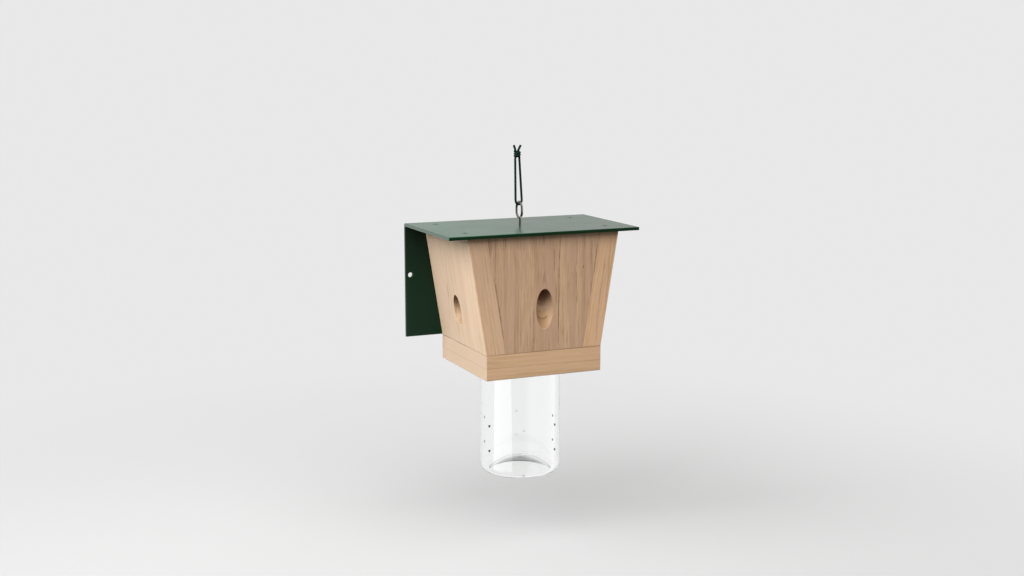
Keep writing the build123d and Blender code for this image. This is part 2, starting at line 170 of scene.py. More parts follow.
waver = speckle(softwood, grain, WAVER_SIZE, output="Color")
waver = vector_calc(softwood, "MULTIPLY_ADD", waver, (WAVER, WAVER, 0.0), grain)
across = vector_calc(softwood, "MULTIPLY", waver, (1.0, 1.0, 0.0))
radius = vector_calc(softwood, "LENGTH", across, output="Value")
ring = calc(softwood, "DIVIDE", radius, given["Ring Width"])
year = calc(softwood, "FLOOR", ring)
season = calc(softwood, "FRACT", ring)
vigour = add(softwood, "TexWhiteNoise", {"W": year}, noise_dimensions="1D").outputs["Value"]
late = product(
    softwood, ease(softwood, season, *LATE_WOOD), ease(softwood, season, *NEW_YEAR),
    ease(softwood, vigour, 0.0, 1.0, low=WEAK_YEAR),
)
fibre = speckle(softwood, waver, FIBRE, detail=3.0)
streak = speckle(softwood, waver, STREAK, detail=3.0)
band = speckle(softwood, waver, BAND)
fleck = ease(softwood, speckle(softwood, waver, FLECK), 0.62, 0.74)
hairline = ease(softwood, speckle(softwood, waver, HAIRLINE), 0.60, 0.74)
shade = total(softwood, [
    # each kind of mark, with how far it darkens the wood
    (product(softwood, late, given["Ring Depth"]), 1.0),
    (ease(softwood, fibre, 0.36, 0.64), 0.30),
    (ease(softwood, streak, 0.38, 0.64), 0.26),
    (ease(softwood, band, 0.3, 0.7), 0.18),
    (fleck, 0.30),
    (hairline, 0.40),
])
strength = calc(softwood, "SUBTRACT", shade, MIDDLE_SHADE)
shade = calc(softwood, "MULTIPLY_ADD", strength, given["Contrast"], MIDDLE_SHADE)
colour = tint(softwood, shade, given["Pale"], given["Dark"])
rosy = ease(softwood, speckle(softwood, waver, ROSY_PATCH), 0.42, 0.62)
colour = tint(softwood, product(softwood, rosy, BLUSH_SHARE), colour, given["Blush"])
softwood.links.new(colour, put_out["Color"])
roughness = ease(softwood, shade, 0.0, 1.0, PALE_ROUGHNESS, DARK_ROUGHNESS)
softwood.links.new(roughness, put_out["Roughness"])
# Fibres and late wood stand up from the planed face, and flecks are small pits in it.
relief = total(softwood, [(fibre, 0.6), (late, 0.3), (fleck, -0.5)])
softwood.links.new(relief, put_out["Height"])

WOOD_SHINE = 0.25
GRAIN_DEPTH = 0.00012


def wood_finish(name, turn, heart, ring_width, ring_depth, contrast, pale, dark, blush):
    """Softwood on a board: the point is turned, in degrees, so that the grain runs along Z, then moved so
    that the heart of the log lies at the origin. Returns the material, its tree, shader, point and
    colour."""
    finish, tree, shader, point = new_finish(name)
    angles = [math.radians(angle) for angle in turn]
    turned = add(tree, "Mapping", {"Vector": point, "Rotation": angles, "Location": heart})
    wood = add(tree, "Group", node_tree=softwood)
    tree.links.new(turned.outputs["Vector"], wood.inputs["Point"])
    wood.inputs["Ring Width"].default_value = ring_width
    wood.inputs["Ring Depth"].default_value = ring_depth
    wood.inputs["Contrast"].default_value = contrast
    for socket, value in (("Pale", pale), ("Dark", dark), ("Blush", blush)):
        wood.inputs[socket].default_value = (*value, 1.0)
    tree.links.new(wood.outputs["Color"], shader.inputs["Base Color"])
    tree.links.new(wood.outputs["Roughness"], shader.inputs["Roughness"])
    shader.inputs["Specular IOR Level"].default_value = WOOD_SHINE
    lay_bump(tree, shader, wood.outputs["Height"], GRAIN_DEPTH)
    return finish, tree, shader, point, wood.outputs["Color"]


def dress(node, finish):
    """Gives a CAD node its finish."""
    nodes[node].material_slots[0].material = finish


# Pitch line: a dark stroke along the grain that wavers, fades at both ends and breaks here and there.
PITCH = (0.20, 0.105, 0.06, 1.0)
WANDER = 0.0016
WANDER_SIZE = (0.02, 0.02, 0.03)
BREAK_SIZE = (0.01, 0.01, 0.009)
BROKEN_TONE = 0.5
STROKE_EDGE = (1.0, 0.2)  # shares of the half width between which the stroke darkens
FADE = 0.006
pitch_line, given, put_out = new_group(
    "pitch_line",
    {"Point": "Vector", "Across": "Float", "Lean": "Float", "Low": "Float", "High": "Float",
     "Width": "Float"},
    {"Mask": "Float"},
)
place = add(pitch_line, "SeparateXYZ", {0: given["Point"]}).outputs
from_low = calc(pitch_line, "SUBTRACT", place["Z"], given["Low"])
to_high = calc(pitch_line, "SUBTRACT", given["High"], place["Z"])
wander = calc(pitch_line, "SUBTRACT", speckle(pitch_line, given["Point"], WANDER_SIZE), NOISE_MIDDLE)
leaning = calc(pitch_line, "MULTIPLY_ADD", from_low, given["Lean"], given["Across"])
off = total(pitch_line, [(place["X"], 1.0), (leaning, -1.0), (wander, WANDER)])
off = calc(pitch_line, "ABSOLUTE", off)
stroke = ease(pitch_line, calc(pitch_line, "DIVIDE", off, given["Width"]), *STROKE_EDGE)
length = product(pitch_line, ease(pitch_line, from_low, 0.0, FADE), ease(pitch_line, to_high, 0.0, FADE))
broken = ease(pitch_line, speckle(pitch_line, given["Point"], BREAK_SIZE), 0.32, 0.6, low=BROKEN_TONE)
pitch_line.links.new(product(pitch_line, stroke, length, broken), put_out["Mask"])


def ruled(tree, colour, place, lines):
    """Draws pitch lines on a board. Each has its place across at the low end, its lean, its low and high
    end, its half width and the depth of its tone; place is the point on the board, with Z along the grain
    and X across."""
    for across, lean, low, high, width, depth in lines:
        line = add(tree, "Group", node_tree=pitch_line)
        tree.links.new(place, line.inputs["Point"])
        sizes = {"Across": across, "Lean": lean, "Low": low, "High": high, "Width": width}
        for socket, value in sizes.items():
            line.inputs[socket].default_value = value
        colour = tint(tree, product(tree, line.outputs["Mask"], depth), colour, PITCH)
    return colour


RAGGED = (0.0012, 0.0012, 0.006)
RAGGED_SHARE = 0.8
MARK_EDGE = (1.4, 0.6)  # shares of the half width and height between which a mark darkens


def stained(tree, colour, place, marks, stain):
    """Draws ragged oval marks on a board, each with its centre, half width, half height and depth of
    tone."""
    ragged = speckle(tree, place, RAGGED, detail=3.0)
    for across, height, width, reach, depth in marks:
        shift = vector_calc(tree, "SUBTRACT", place, (across, 0.0, height))
        spread = vector_calc(tree, "DIVIDE", shift, (width, 1.0, reach))
        far = vector_calc(tree, "LENGTH", spread, output="Value")
        mark = ease(tree, total(tree, [(far, 1.0), (ragged, RAGGED_SHARE)]), *MARK_EDGE)
        colour = tint(tree, product(tree, mark, depth), colour, stain)
    return colour


# Tones inside an entry hole, each with the depths behind the board's face between which it comes or goes.
WARM_BORE = (0.30, 0.175, 0.074, 1.0)
WARM_COMES = (0.0001, 0.0006)
WARM_GOES = (0.0100, 0.0045)
WARM_SHARE = 0.76
# The darker tone further in is painted shade.
BORE_SHADE = (0.84, 0.62, 0.42, 1.0)
BORE_SHADE_COMES = (0.009, 0.017)


def bored(tree, colour, depth):
    """Colours the inside of a bore by its depth behind the board's face: warm near the mouth, and darker
    further in, where the darkening is painted shade."""
    warm = product(tree, ease(tree, depth, *WARM_COMES), ease(tree, depth, *WARM_GOES), WARM_SHARE)
    colour = tint(tree, warm, colour, WARM_BORE)
    return tint(tree, ease(tree, depth, *BORE_SHADE_COMES), colour, BORE_SHADE, "MULTIPLY")


# Painted shade on the front, by the height above the foot of the walls.
TOP_SHADE_HEIGHT = 0.11
ROOF_SHADOW_HEIGHT = (0.094, 0.109)


def shaded(tree, colour, height, top_shade, under_roof):
    """Paints shade on the front of a wall board: from its foot to the roof its tone darkens to the first
    share given, and a painted shadow close under the roof leaves the second share, under_roof."""
    colour = tint(tree, ease(tree, height, 0.0, TOP_SHADE_HEIGHT), colour, grey(top_shade), "MULTIPLY")
    return tint(tree, ease(tree, height, *ROOF_SHADOW_HEIGHT), colour, grey(under_roof), "MULTIPLY")


side_low, side_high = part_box("left_board")
foot_half = -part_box("floor_board")[0].x
LEAN = (-side_low.x - foot_half) / (side_high.z - side_low.z)
SLOPE = math.degrees(math.atan(LEAN))
LEFT_WOOD = dict(
    contrast=0.65, pale=(0.745, 0.58, 0.42), dark=(0.48, 0.33, 0.21), blush=(0.655, 0.485, 0.36)
)
RIGHT_WOOD = dict(
    contrast=0.95, pale=(0.66, 0.47, 0.30), dark=(0.46, 0.29, 0.16), blush=(0.60, 0.42, 0.28)
)
LEFT_EDGE = (0.95, 0.84, 0.755, 1.0)
RIGHT_EDGE = (1.10, 1.02, 0.955, 1.0)
FRONT_EDGE = (0.0010, 0.0002)  # where the sawn edge's tone starts and is full, back from its face
PINK = (0.60, 0.40, 0.26, 1.0)
PEACH = (0.72, 0.51, 0.335, 1.0)
# Marks: across, height above the board's foot, half width, half height, depth of tone.
PINK_MARK = (0.0058, 0.0165, 0.0042, 0.0105, 0.9)
PEACH_MARK = (0.0115, 0.0290, 0.0032, 0.0110, 0.9)
BACKWARDS = (-0.03, 0.055)
BACK_TONE = (0.91, 0.915, 0.92, 1.0)
FACE_LINES = (
    # place across at the low end, lean, low and high above the board's foot, half width, depth of tone
    (0.0190, 0.0, 0.040, 0.060, 0.0014, 0.50),
    (0.0076, 0.0, 0.046, 0.056, 0.0010, 0.30),
    (0.0235, -0.10, 0.066, 0.100, 0.0012, 0.25),
    (0.0273, -0.235, 0.016, 0.098, 0.0011, 0.20),
)
EDGE_LINES = {
    "left_board": (),
    "right_board": (
        (0.0550, 0.02, 0.002, 0.030, 0.0010, 0.35),
        (0.0550, 0.146, 0.023, 0.084, 0.0010, 0.40),
        (0.0645, 0.070, 0.030, 0.108, 0.0012, 0.30),
    ),
}
# The rear flank of a side hole has painted light, palest at its rim, and painted shade further in.
LIT_FLANK = (0.42, 0.275, 0.162, 1.0)
FLANK_COMES = (0.0004, 0.0012)
FLANK_REACH = (-0.002, 0.007)
LIT_RIM = (0.50, 0.345, 0.212, 1.0)
RIM_COMES = (0.0002, 0.0006)
RIM_GOES = (0.0045, 0.0015)
RIM_REACH = (0.0030, 0.0070)
LIT_SHARE = 0.8
SIDE_BORE_SHADE = (0.66, 0.52, 0.40, 1.0)
SIDE_BORE_SHADE_COMES = (0.0040, 0.0085)
for node, side, heart, ring_width, ring_depth, wood, sawn_edge, top_shade, roof_shadow in (
    # the last two are what painted shade leaves of the front edge's tone near the roof, and a painted shadow
    # close under it
    ("left_board", -1, (0.085, 0.021, 0), 0.0031, 0.42, LEFT_WOOD, LEFT_EDGE, 0.80, 0.84),
    ("right_board", 1, (-0.19, 0.034, 0.3), 0.0036, 0.5, RIGHT_WOOD, RIGHT_EDGE, 0.83, 0.72),
):
    finish, tree, shader, point, wood_colour = wood_finish(
        node + "_softwood", (0, -side * SLOPE, 0), heart, ring_width, ring_depth, **wood
    )
    place = add(tree, "SeparateXYZ", {0: point}).outputs
    height = calc(tree, "SUBTRACT", place["Z"], side_low.z)
    on_board = add(tree, "CombineXYZ", {"X": place["Y"], "Z": height}).outputs[0]
    depth = total(tree, [(place["X"], -side), (height, LEAN), (1.0, foot_half)])
    colour = ruled(tree, wood_colour, on_board, FACE_LINES)
    colour = stained(tree, colour, on_board, [PINK_MARK], PINK)
    colour = stained(tree, colour, on_board, [PEACH_MARK], PEACH)
    colour = tint(tree, ease(tree, place["Y"], *BACKWARDS), colour, BACK_TONE, "MULTIPLY")
    colour = bored(tree, colour, depth)
    flank = product(tree, ease(tree, depth, *FLANK_COMES), ease(tree, place["Y"], *FLANK_REACH), LIT_SHARE)
    colour = tint(tree, flank, colour, LIT_FLANK)
    colour = tint(tree, ease(tree, depth, *SIDE_BORE_SHADE_COMES), colour, SIDE_BORE_SHADE, "MULTIPLY")
    rim = product(
        tree, ease(tree, depth, *RIM_COMES), ease(tree, depth, *RIM_GOES),
        ease(tree, place["Y"], *RIM_REACH), LIT_SHARE,
    )
    colour = tint(tree, rim, colour, LIT_RIM)
    on_edge = add(tree, "CombineXYZ", {"X": place["X"], "Z": height}).outputs[0]
    edge_colour = tint(tree, 1.0, wood_colour, sawn_edge, "MULTIPLY")
    edge_colour = shaded(tree, ruled(tree, edge_colour, on_edge, EDGE_LINES[node]), height, top_shade, roof_shadow)
    edge = near(tree, place["Y"], side_low.y, *FRONT_EDGE)
    tree.links.new(tint(tree, edge, colour, edge_colour), shader.inputs["Base Color"])
    dress(node, finish)


# End boards: the front board, bored with the front entry hole, and the plain back board stand between the
# side boards, and brads through those hold them. Both are flat-sawn planks of the same bare softwood with
# upright grain.
UPRIGHT = (0, 0, 0)
HEART_AHEAD = 0.101
# Painted shade on the front board towards the roof, and a painted shadow close under it
FRONT_TOP_SHADE = 0.89
FRONT_ROOF_SHADOW = 0.86
FRONT_WOOD = dict(
    contrast=0.95, pale=(0.615, 0.42, 0.265), dark=(0.35, 0.205, 0.115), blush=(0.49, 0.312, 0.215)
)
FRONT_LINES = (
    # across at the low end, lean, low and high above the board's foot, half width, depth of tone
    (0.0140, 0.016, 0.003, 0.110, 0.0007, 1.00),
    (0.0099, 0.0, 0.074, 0.099, 0.0007, 0.75),
    (0.0122, 0.0, 0.040, 0.064, 0.0006, 0.55),
    (0.0246, 0.0, 0.056, 0.067, 0.0006, 0.50),
    (0.0334, 0.0, 0.078, 0.106, 0.0006, 0.80),
    (0.0332, 0.0, 0.041, 0.076, 0.0006, 0.75),
    (0.0418, 0.0, 0.094, 0.110, 0.0006, 0.80),
    (0.0412, 0.0, 0.052, 0.065, 0.0006, 0.65),
    (0.0487, 0.0, 0.048, 0.066, 0.0006, 0.70),
    (0.0494, 0.0, 0.078, 0.106, 0.0007, 0.70),
    (0.0515, 0.11, 0.066, 0.102, 0.0008, 0.75),
    (-0.0245, 0.0, 0.004, 0.033, 0.0005, 0.55),
    (-0.0113, 0.0, -0.002, 0.042, 0.0007, 0.95),
    (-0.0148, 0.0, 0.021, 0.035, 0.0005, 0.60),
    (-0.0183, 0.0, 0.003, 0.020, 0.0005, 0.50),
    (0.0238, 0.0, 0.002, 0.019, 0.0005, 0.60),
    (0.0359, 0.0, 0.006, 0.026, 0.0005, 0.60),
    (-0.0507, 0.0, 0.066, 0.110, 0.0006, 0.55),
    (-0.0477, 0.0, 0.084, 0.103, 0.0005, 0.50),
    (-0.0402, 0.0, 0.097, 0.112, 0.0008, 0.70),
    (-0.0282, 0.0, 0.096, 0.112, 0.0006, 0.70),
    (-0.0253, 0.0, 0.096, 0.112, 0.0006, 0.60),
    (-0.0212, 0.0, 0.094, 0.108, 0.0006, 0.45),
    (-0.0030, 0.17, 0.060, 0.078, 0.0005, 0.70),
    (0.0020, -0.13, 0.060, 0.078, 0.0005, 0.70),
    (-0.0418, -0.163, 0.012, 0.070, 0.0008, 0.85),
    (-0.0510, -0.163, 0.064, 0.079, 0.0008, 0.60),
    (-0.0556, -0.100, 0.090, 0.112, 0.0008, 0.80),
)
FRONT_MARKS = (
    # across, height above the board's foot, half width, half height, depth of tone
    (0.0402, 0.078, 0.0010, 0.0026, 0.75),
    (-0.0013, 0.107, 0.0022, 0.0090, 0.55),
    (-0.0004, 0.068, 0.0012, 0.0060, 0.35),
    (-0.0548, 0.103, 0.0016, 0.0120, 0.45),
)
front_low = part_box("front_board")[0]
front_heart = (-0.001, HEART_AHEAD - front_low.y, 0)
front_finish, tree, shader, point, colour = wood_finish(
    "front_board_softwood", UPRIGHT, front_heart, ring_width=0.0036, ring_depth=0.4, **FRONT_WOOD
)
on_board = vector_calc(tree, "SUBTRACT", point, (0.0, front_low.y, front_low.z))
place = add(tree, "SeparateXYZ", {0: on_board}).outputs
colour = ruled(tree, colour, on_board, FRONT_LINES)
colour = stained(tree, colour, on_board, FRONT_MARKS, PITCH)
colour = bored(tree, shaded(tree, colour, place["Z"], FRONT_TOP_SHADE, FRONT_ROOF_SHADOW), place["Y"])

# The right flank of the bore is paler with painted light. One dark ring of late wood shows as a bow across
# its
# lower side: the depth at which it lies, less a share of the square of the distance from the middle.
INSIDE = (0.0003, 0.0010)
LIT_RIGHT_FLANK = (0.455, 0.310, 0.200, 1.0)
RIGHT_FLANK_SHARE = 0.60
RIGHT_FLANK_REACH = (0.0012, 0.0070)
RIGHT_FLANK_GOES = (0.0180, 0.0100)
BORE_RING = 0.0053
RING_CURVE = 24.0
RING_WOBBLE = 0.0012
RING_WOBBLE_SIZE = (0.0015, 0.0015, 0.006)
RING_EDGE = (0.0006, 0.0001)
RING_REACH = (0.0056, 0.0040)
RING_SHARE = 0.80
inside = ease(tree, place["Y"], *INSIDE)
flank = product(
    tree, inside, ease(tree, place["X"], *RIGHT_FLANK_REACH), ease(tree, place["Y"], *RIGHT_FLANK_GOES),
    RIGHT_FLANK_SHARE,
)
colour = tint(tree, flank, colour, LIT_RIGHT_FLANK)
wobble = speckle(tree, on_board, RING_WOBBLE_SIZE, detail=3.0)
wobble = calc(tree, "MULTIPLY_ADD", wobble, RING_WOBBLE, place["Y"])
bowed = calc(tree, "MULTIPLY_ADD", product(tree, place["X"], place["X"]), RING_CURVE, wobble)
from_ring = calc(tree, "ABSOLUTE", calc(tree, "SUBTRACT", bowed, BORE_RING))
late_ring = product(
    tree, ease(tree, from_ring, *RING_EDGE), ease(tree, place["X"], *RING_REACH), inside, RING_SHARE
)
tree.links.new(tint(tree, late_ring, colour, PITCH), shader.inputs["Base Color"])
dress("front_board", front_finish)

BACK_HEART = (0.012, -0.16, 0.4)
back_finish = wood_finish(
    "back_board_softwood", UPRIGHT, BACK_HEART, ring_width=0.0033, ring_depth=0.4, **FRONT_WOOD
)[0]
dress("back_board", back_finish)


# Ceiling board: a thin rough-sawn softwood panel inside the top of the walls, with its grain from side to
# side. Brads hold it, and the screw eye bites into it.
ALONG_X = (0, -90, 0)
CEILING_HEART = (0.09, 0.02, 0)
ceiling_finish = wood_finish(
    "ceiling_board_softwood", ALONG_X, CEILING_HEART, ring_width=0.0034, ring_depth=0.45, **RIGHT_WOOD
)[0]
dress("ceiling_board", ceiling_finish)


# Brads: thin steel nails driven flush through the side boards into the edges of the other boards. Their
# coating is tan, so that the heads hardly show on the wood.
DARK_TAN = (0.38, 0.27, 0.18, 1.0)
PALE_TAN = (0.52, 0.40, 0.28, 1.0)
brad_finish, tree, shader, point = new_finish("coated_brad")
dull = speckle(tree, point, (0.0006, 0.0006, 0.0006))
tree.links.new(tint(tree, dull, DARK_TAN, PALE_TAN), shader.inputs["Base Color"])
tree.links.new(ease(tree, dull, 0.2, 0.8, low=0.4, high=0.6), shader.inputs["Roughness"])
shader.inputs["Metallic"].default_value = 0.5
for node in ("left_brads", "right_brads", "ceiling_brads"):
    dress(node, brad_finish)


# Floor board: one thick softwood block across the foot of the walls, flush with them, its grain from side to
# side. It has the round socket for the jar and is screwed up into the side boards.
NEARLY_ALONG_X = (0, -91.2, 0)
FLOOR_HEART = (0.034, 0.03, 0)
FLOOR_WOOD = dict(
    contrast=0.7, pale=(0.68, 0.455, 0.278), dark=(0.48, 0.293, 0.156), blush=(0.648, 0.42, 0.26)
)
END_GRAIN = (0.51, 0.40, 0.30, 1.0)
END_GRAIN_SHARE = 0.75
BLOCK_END = (-0.0010, -0.0003)
BLOCK_LINE = (0.0127, 0.011, -0.068, 0.068, 0.0005, 0.35)
JOINT_DIRT_AND_SHADE = (0.32, 0.25, 0.20, 1.0)
UNDER_JOINT = (-0.0009, -0.0003)
THIN_DIRT_AND_SHADE = 0.4
finish, tree, shader, point, colour = wood_finish(
    "floor_board_softwood", NEARLY_ALONG_X, FLOOR_HEART, ring_width=0.0040, ring_depth=0.42, **FLOOR_WOOD
)
place = add(tree, "SeparateXYZ", {0: point}).outputs
end_grain = near(tree, calc(tree, "ABSOLUTE", place["X"]), foot_half, *BLOCK_END)
colour = tint(tree, product(tree, end_grain, END_GRAIN_SHARE), colour, END_GRAIN)
floor_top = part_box("floor_board")[1].z
down = calc(tree, "SUBTRACT", floor_top, place["Z"])
on_block = add(tree, "CombineXYZ", {"X": down, "Z": place["X"]}).outputs[0]
colour = ruled(tree, colour, on_block, [BLOCK_LINE])
# Under the joint with the walls, the block's top edge darkens in patches: dirt and a painted shadow.
joint_dirt_and_shade = product(
    tree, near(tree, place["Z"], floor_top, *UNDER_JOINT),
    ease(tree, speckle(tree, point, (0.03, 0.03, 0.03)), 0.3, 0.7, low=THIN_DIRT_AND_SHADE),
)
tree.links.new(tint(tree, joint_dirt_and_shade, colour, JOINT_DIRT_AND_SHADE, "MULTIPLY"), shader.inputs["Base Color"])
dress("floor_board", finish)


# Funnel: a short cone moulded in milky plastic that leads from the chamber down into the jar. Its rim lies
# in a shallow seat in the top of the floor board.
DARK_MILK = (0.74, 0.75, 0.74, 1.0)
PALE_MILK = (0.86, 0.86, 0.84, 1.0)
funnel_finish, tree, shader, point = new_finish("milky_plastic")
cloud = speckle(tree, point, (0.006, 0.006, 0.015), detail=3.0)
tree.links.new(tint(tree, cloud, DARK_MILK, PALE_MILK), shader.inputs["Base Color"])
tree.links.new(ease(tree, cloud, 0.2, 0.8, low=0.30, high=0.45), shader.inputs["Roughness"])
shader.inputs["Transmission Weight"].default_value = 0.35
lay_bump(tree, shader, speckle(tree, point, (0.002, 0.002, 0.002)), depth=0.00004)
dress("funnel", funnel_finish)


# Floor screws: four countersunk wood screws of zinc plated steel. They are driven up through the floor board
# into the foot of the side boards, with their heads flush.
def metal_finish(name, light, dark, smooth, rough):
    """Plated steel: a colour that clouds from light to dark and a roughness from smooth to rough, with fine
    drawn lines."""
    finish, tree, shader, point = new_finish(name)
    cloud = speckle(tree, point, (0.0025, 0.0025, 0.0025), detail=4.0)
    drawn = speckle(tree, point, (0.0003, 0.0003, 0.004))
    tree.links.new(tint(tree, cloud, (*light, 1.0), (*dark, 1.0)), shader.inputs["Base Color"])
    tree.links.new(ease(tree, drawn, 0.25, 0.75, smooth, rough), shader.inputs["Roughness"])
    shader.inputs["Metallic"].default_value = 1.0
    lay_bump(tree, shader, drawn, depth=0.00002)
    return finish


zinc_finish = metal_finish(
    "zinc_screw", light=(0.62, 0.61, 0.58), dark=(0.45, 0.44, 0.42), smooth=0.28, rough=0.42
)
dress("floor_screws", zinc_finish)


# Jar: a straight clear plastic jar with a raised floor, vent holes and a drain hole, moulded in one piece.
# It is a push fit in the floor board's socket and pulls straight down.
CLEAR = (0.985, 0.99, 0.988, 1.0)
CLEAR_SHADOW = (0.94, 0.95, 0.945, 1.0)
jar_finish, tree, shader, point = new_finish("clear_plastic")
shader.inputs["Base Color"].default_value = CLEAR
shader.inputs["Transmission Weight"].default_value = 1.0
shader.inputs["IOR"].default_value = 1.49
flow = speckle(tree, point, (0.012, 0.012, 0.06))
scuff = speckle(tree, point, (0.0012, 0.0012, 0.0012), detail=4.0)
tree.links.new(ease(tree, scuff, 0.55, 0.8, low=0.02, high=0.12), shader.inputs["Roughness"])
lay_bump(tree, shader, flow, depth=0.00004)
see_through = add(tree, "BsdfTransparent", {"Color": CLEAR_SHADOW})
light_path = add(tree, "LightPath").outputs
passes = calc(tree, "MAXIMUM", light_path["Is Shadow Ray"], light_path["Is Diffuse Ray"])
clear = add(tree, "MixShader", {0: passes, 1: shader.outputs["BSDF"], 2: see_through.outputs["BSDF"]})
tree.links.new(clear.outputs["Shader"], tree.nodes["Material Output"].inputs["Surface"])
dress("jar", jar_finish)


# Roof sheet: one satin green plastic sheet, heat-bent to a flat roof and a flange that hangs behind the box
# and carries the two wall holes. Four screws hold it down. Its upper face is paler with painted light,
# greener to the left. Its front edge is a dull dark cut, and its side edges are sawn paler and carry painted
# light.
# A painted shadow darkens the flange towards the roof.
DEEP_GREEN = (0.004, 0.020, 0.010, 1.0)
CLOUD_GREEN = (0.006, 0.028, 0.014, 1.0)
LEFT_TOP_LIGHT = (0.009, 0.050, 0.022, 1.0)
RIGHT_TOP_LIGHT = (0.011, 0.033, 0.016, 1.0)
CUT_GREEN = (0.002, 0.022, 0.005, 1.0)
SAWN_AND_LIT_GREEN = (0.075, 0.108, 0.088, 1.0)
ROOF_SHADOW_TONE = (0.65, 0.60, 0.65, 1.0)
CUT_DULLNESS = 0.45
PEBBLE_DULLNESS = 0.05
LEFT_TO_RIGHT = (-0.06, 0.09)
UNEVEN = 0.06
# Where each tone starts and is full, from the sheet's front edge, its top or its sides.
FRONT_CUT = (0.0012, 0.0006)
UNDER_EAVES = (-0.075, -0.005)
SAWN_SIDE = (-0.0008, -0.0003)
SAWN_ROOF = (-0.0045, -0.0030)
LIT_TOP = (-0.0006, -0.0001)
roof_low, roof_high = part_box("roof_sheet")
roof_finish, tree, shader, point = new_finish("satin_green_sheet")
cloud = speckle(tree, point, (0.05, 0.05, 0.05), detail=3.0)
pebble = speckle(tree, point, (0.0009, 0.0009, 0.0009))
place = add(tree, "SeparateXYZ", {0: point}).outputs
cut = near(tree, place["Y"], roof_low.y, *FRONT_CUT)
green = tint(tree, cut, tint(tree, cloud, DEEP_GREEN, CLOUD_GREEN), CUT_GREEN)
# Painted shadow: the sheet darkens from low on the flange up towards the roof, its edges included.
roof_shadow_on_flange = near(tree, place["Z"], roof_high.z, *UNDER_EAVES)
green = tint(tree, roof_shadow_on_flange, green, ROOF_SHADOW_TONE, "MULTIPLY")
# The side edges are sawn paler, with painted light on them as well.
sawn = product(
    tree, near(tree, calc(tree, "ABSOLUTE", place["X"]), roof_high.x, *SAWN_SIDE),
    near(tree, place["Z"], roof_high.z, *SAWN_ROOF),
)
green = tint(tree, sawn, green, SAWN_AND_LIT_GREEN)
# Painted light on the upper face: paler than the flange, and greener to the left.
rightward = ease(tree, total(tree, [(place["X"], 1.0), (cloud, UNEVEN)]), *LEFT_TO_RIGHT)
painted_top_light = tint(tree, rightward, LEFT_TOP_LIGHT, RIGHT_TOP_LIGHT)
on_top = near(tree, place["Z"], roof_high.z, *LIT_TOP)
tree.links.new(tint(tree, on_top, green, painted_top_light), shader.inputs["Base Color"])
satin = ease(tree, cloud, 0.3, 0.7, low=0.20, high=0.22)
roughness = total(tree, [(satin, 1.0), (pebble, PEBBLE_DULLNESS), (cut, CUT_DULLNESS)])
tree.links.new(roughness, shader.inputs["Roughness"])
shader.inputs["Specular IOR Level"].default_value = 0.12
lay_bump(tree, shader, pebble, depth=0.00002)
dress("roof_sheet", roof_finish)


# Roof screws: four countersunk steel screws with a cross recess, painted dark green. They lie flush in the
# roof and go into the side boards.
SCREW_PAINT = (0.010, 0.040, 0.020, 1.0)
BARE_STEEL = (0.30, 0.30, 0.28, 1.0)
screw_finish, tree, shader, point = new_finish("painted_screw")
chip = ease(tree, speckle(tree, point, (0.0007, 0.0007, 0.0007), detail=4.0), 0.60, 0.68)
tree.links.new(tint(tree, chip, SCREW_PAINT, BARE_STEEL), shader.inputs["Base Color"])
tree.links.new(chip, shader.inputs["Metallic"])
shader.inputs["Roughness"].default_value = 0.35
shader.inputs["Specular IOR Level"].default_value = 0.08
dress("roof_screws", screw_finish)


# Screw eye: bright zinc plated wire bent to a ring on a threaded shank, screwed through the roof into the
# ceiling board.
eye_finish = metal_finish(
    "bright_eye_wire", light=(0.32, 0.305, 0.285), dark=(0.16, 0.152, 0.14), smooth=0.14, rough=0.26
)
dress("screw_eye", eye_finish)


# Cord: a thin dark green braided cord, doubled through the eye and pulled tight from above. Its control
# points are the route of the CAD cord, with one more point on each straight run near the eye.
CORD_DIAMETER = 0.0022
CORD_Y = 0.0019
CORD_ROUTE = (
    (-0.0043, CORD_Y, 0.3105),
    (-0.0040, CORD_Y, 0.2763),
    (-0.0039, CORD_Y, 0.2655),
    (0.0029, CORD_Y, 0.2655),
    (0.0022, CORD_Y, 0.2763),
    (0.0, CORD_Y, 0.3105),
)


def smooth_route(points, spacing):
    """Evenly spaced points along the NURBS curve that has these control points."""
    curve = bpy.data.curves.new("route", "CURVE")
    curve.dimensions = "3D"
    curve.resolution_u = 48
    spline = curve.splines.new("NURBS")
    spline.points.add(len(points) - 1)
    for control, spot in zip(spline.points, points):
        control.co = (*spot, 1.0)
    spline.order_u = 3
    spline.use_endpoint_u = True
    holder = bpy.data.objects.new("route", curve)
    line = bpy.data.meshes.new_from_object(holder)
    dense = np.empty(len(line.vertices) * 3)
    line.vertices.foreach_get("co", dense)
    dense = dense.reshape(-1, 3)
    bpy.data.objects.remove(holder)
    bpy.data.curves.remove(curve)
    bpy.data.meshes.remove(line)
    along = np.concatenate(([0.0], np.cumsum(np.linalg.norm(np.diff(dense, axis=0), axis=1))))
    even = np.linspace(0.0, along[-1], round(along[-1] / spacing) + 1)
    return np.stack([np.interp(even, along, dense[:, axis]) for axis in range(3)], axis=1)


AROUND = 20  # points in a ring
STRANDS = 4  # in each of the two crossing sets
LAY = 0.0042  # length of cord in which a strand moves round by one place
RELIEF = 0.02  # share of the radius


